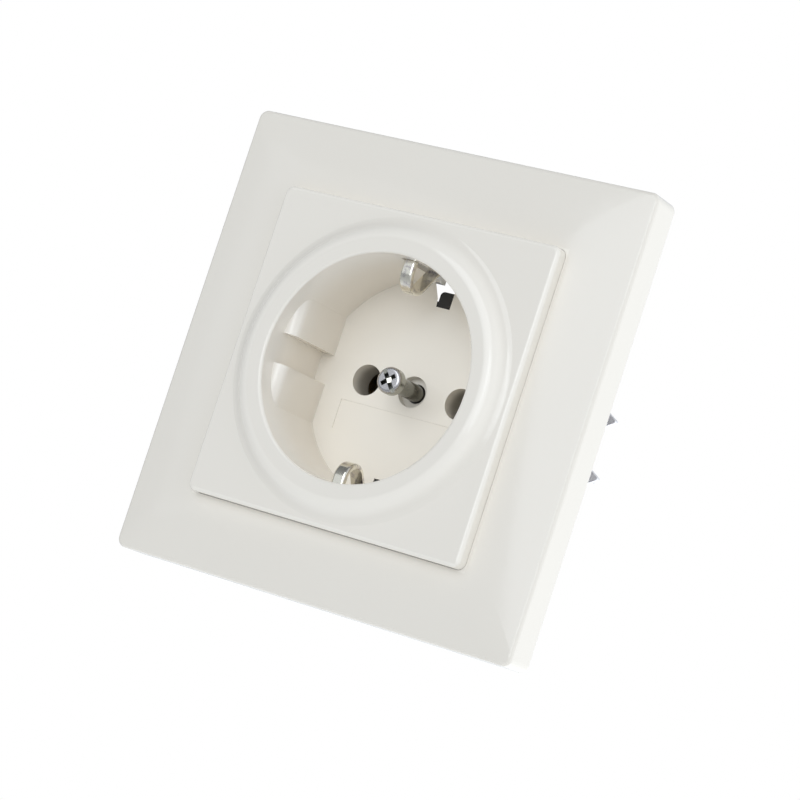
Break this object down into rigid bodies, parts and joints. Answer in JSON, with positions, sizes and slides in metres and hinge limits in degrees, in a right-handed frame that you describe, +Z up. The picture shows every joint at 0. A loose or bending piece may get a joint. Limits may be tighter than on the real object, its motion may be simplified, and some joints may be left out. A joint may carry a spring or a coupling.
{
  "type": "wall socket outlet",
  "caption": "Flush wall socket outlet with a square frame, round well with side earth clips and pin holes, steel mounting ring, contact base and spreading claws.",
  "frame": {"origin": "centre of the socket on the wall plane, midway between the box screw slots", "axes": "+X to the right as seen from the front, +Z up, and +Y into the wall, so the front faces -Y"},
  "size_m": [0.0804, 0.0445, 0.0804],
  "materials": {
    "white_plastic": "smooth gloss white moulding",
    "black_plastic": "dark moulded insert",
    "nickel_plate": "bright nickel plate",
    "zinc_steel": "zinc plated sheet",
    "contact_brass": "plain brass"
  },
  "bodies": {
    "socket": {"cover_frame": "white_plastic", "centre_plate": "white_plastic", "centre_screw": "nickel_plate", "centre_nut": "zinc_steel", "earth_bridge": "nickel_plate", "earth_terminal": "contact_brass", "earth_rivet": "contact_brass", "contact_cover": "black_plastic", "cover_screws": "zinc_steel", "base_body": "black_plastic", "mounting_ring": "zinc_steel", "ring_rivets": "zinc_steel", "line_contact": "contact_brass", "neutral_contact": "contact_brass", "terminal_clamps": "zinc_steel", "terminal_screws": "zinc_steel", "claw_nuts": "zinc_steel", "claw_screws": "zinc_steel"},
    "left_claw": {"left_claw": "zinc_steel"},
    "right_claw": {"right_claw": "zinc_steel"}
  },
  "joints": [
    {"name": "left_claw_swing", "type": "hinge", "parent": "socket", "child": "left_claw", "pos_m": [-0.0246, 0.022, 0], "axis": [0, 0, -1], "range_deg": [-24, 8]},
    {"name": "right_claw_swing", "type": "hinge", "parent": "socket", "child": "right_claw", "pos_m": [0.0246, 0.022, 0], "axis": [0, 0, 1], "range_deg": [-24, 8]}
  ]
}
